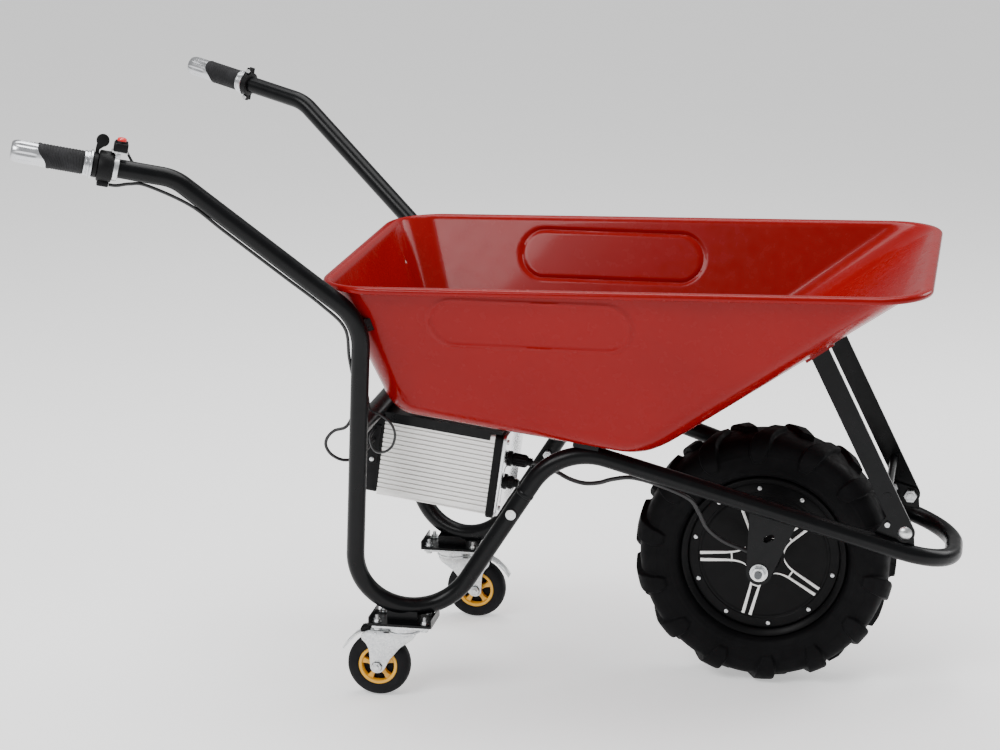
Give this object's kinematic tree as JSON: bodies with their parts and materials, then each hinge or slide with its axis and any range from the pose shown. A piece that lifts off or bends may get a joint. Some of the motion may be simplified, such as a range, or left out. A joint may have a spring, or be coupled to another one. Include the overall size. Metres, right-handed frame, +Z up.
{
  "type": "power wheelbarrow",
  "caption": "Battery-driven wheelbarrow with a bent tube frame, hub-motor wheel, swivel casters and a tipping pressed steel tray.",
  "frame": {"origin": "on the ground under the middle of the whole barrow", "axes": "+X forward from the handles to the nose, +Y to the left of the person pushing, +Z up"},
  "size_m": [1.3776, 0.9324, 0.9141],
  "materials": {
    "frame_paint": "gloss black powder coat",
    "zinc": "bright zinc plate",
    "axle_steel": "machined",
    "copper": "wound and lacquered",
    "magnet": "nickel plate",
    "alu_case": "ribbed extrusion",
    "alu_plate": "satin plate",
    "black_plastic": "moulded",
    "cell_wrap": "heat shrink",
    "board": "circuit board",
    "grip_rubber": "ribbed",
    "grip_silver": "fluted",
    "red_button": "gloss",
    "tray_red": "gloss red enamel",
    "hub_black": "satin black",
    "spoke_white": "machined edge",
    "tyre": "block tread",
    "caster_yellow": "moulded nylon",
    "caster_rubber": "smooth",
    "cable": "jacket"
  },
  "bodies": {
    "frame": {"handle_tube_right": "frame_paint", "handle_tube_left": "frame_paint", "front_frame": "frame_paint", "frame_bolts": "zinc", "rear_cross_tube": "frame_paint", "tray_rest_bar": "frame_paint", "corner_lugs": "frame_paint", "axle_plates": "frame_paint", "pivot_lugs": "frame_paint", "pivot_bolts": "zinc", "wheel_axle": "axle_steel", "axle_nuts": "zinc", "motor_stator": "copper", "battery_case": "alu_case", "battery_rear_cap": "black_plastic", "battery_front_frame": "black_plastic", "battery_front_plate": "alu_plate", "battery_cells": "cell_wrap", "controller_board": "board", "power_connectors": "black_plastic", "battery_mount": "frame_paint", "battery_screws": "zinc", "throttle_housing": "black_plastic", "handle_clamps": "zinc", "switch_housing": "black_plastic", "grip_ends": "grip_silver", "grip_rubbers": "grip_rubber", "grip_rings": "grip_silver", "caster_saddles": "frame_paint", "caster_top_plates": "zinc", "caster_bolts": "zinc", "kingpins": "zinc", "motor_cable": "cable", "throttle_cable": "cable", "switch_cable": "cable"},
    "tray_assembly": {"tray": "tray_red", "tray_bracket": "tray_red", "tip_arm_right": "frame_paint", "tip_arm_left": "frame_paint", "arm_cross_rod": "frame_paint"},
    "drive_wheel": {"hub_shell": "hub_black", "motor_cover_right": "hub_black", "motor_cover_left": "hub_black", "spoke_trim": "spoke_white", "cover_screws": "zinc", "rotor_magnets": "magnet", "hub_bearings": "axle_steel", "drive_tyre": "tyre"},
    "thumb_throttle": {"throttle_lever": "black_plastic"},
    "power_switch": {"power_button": "red_button"},
    "caster_swivel_right": {"caster_fork_right": "zinc", "caster_axle_right": "zinc"},
    "caster_wheel_right": {"caster_hub_right": "caster_yellow", "caster_tyre_right": "caster_rubber"},
    "caster_brake_right": {"brake_pedal_right": "zinc"},
    "caster_swivel_left": {"caster_fork_left": "zinc", "caster_axle_left": "zinc"},
    "caster_wheel_left": {"caster_hub_left": "caster_yellow", "caster_tyre_left": "caster_rubber"},
    "caster_brake_left": {"brake_pedal_left": "zinc"}
  },
  "joints": [
    {"name": "tray_tip", "type": "hinge", "parent": "frame", "child": "tray_assembly", "pos_m": [0.60183, 0, 0.282], "axis": [0, 1, 0], "range_deg": [0, 75]},
    {"name": "wheel_spin", "type": "hinge", "parent": "frame", "child": "drive_wheel", "pos_m": [0.37983, 0, 0.207], "axis": [0, 1, 0], "continuous": true},
    {"name": "throttle_press", "type": "hinge", "parent": "frame", "child": "thumb_throttle", "pos_m": [-0.574, -0.41415, 0.87023], "axis": [-0.926, -0.3187, 0.2024], "range_deg": [0, 45], "stiffness_Nm_per_rad": 0.05, "springref_deg": -5.73},
    {"name": "power_press", "type": "slide", "parent": "frame", "child": "power_switch", "axis": [-0.1914, -0.0659, -0.9793], "range_m": [0, 0.003], "stiffness_N_per_m": 400, "springref_m": -0.0005},
    {"name": "swivel_right", "type": "hinge", "parent": "frame", "child": "caster_swivel_right", "pos_m": [-0.16617, -0.196, 0.1], "axis": [0, 0, 1], "continuous": true},
    {"name": "roll_right", "type": "hinge", "parent": "caster_swivel_right", "child": "caster_wheel_right", "pos_m": [-0.20617, -0.196, 0.05], "axis": [0, 1, 0], "continuous": true},
    {"name": "brake_right", "type": "hinge", "parent": "caster_swivel_right", "child": "caster_brake_right", "pos_m": [-0.20817, -0.196, 0.104], "axis": [0, -1, 0], "range_deg": [0, 8], "stiffness_Nm_per_rad": 0.6, "springref_deg": -5.73},
    {"name": "swivel_left", "type": "hinge", "parent": "frame", "child": "caster_swivel_left", "pos_m": [-0.16617, 0.196, 0.1], "axis": [0, 0, 1], "continuous": true},
    {"name": "roll_left", "type": "hinge", "parent": "caster_swivel_left", "child": "caster_wheel_left", "pos_m": [-0.12617, 0.196, 0.05], "axis": [0, 1, 0], "continuous": true},
    {"name": "brake_left", "type": "hinge", "parent": "caster_swivel_left", "child": "caster_brake_left", "pos_m": [-0.12417, 0.196, 0.104], "axis": [0, 1, 0], "range_deg": [0, 8], "stiffness_Nm_per_rad": 0.6, "springref_deg": -5.73}
  ]
}
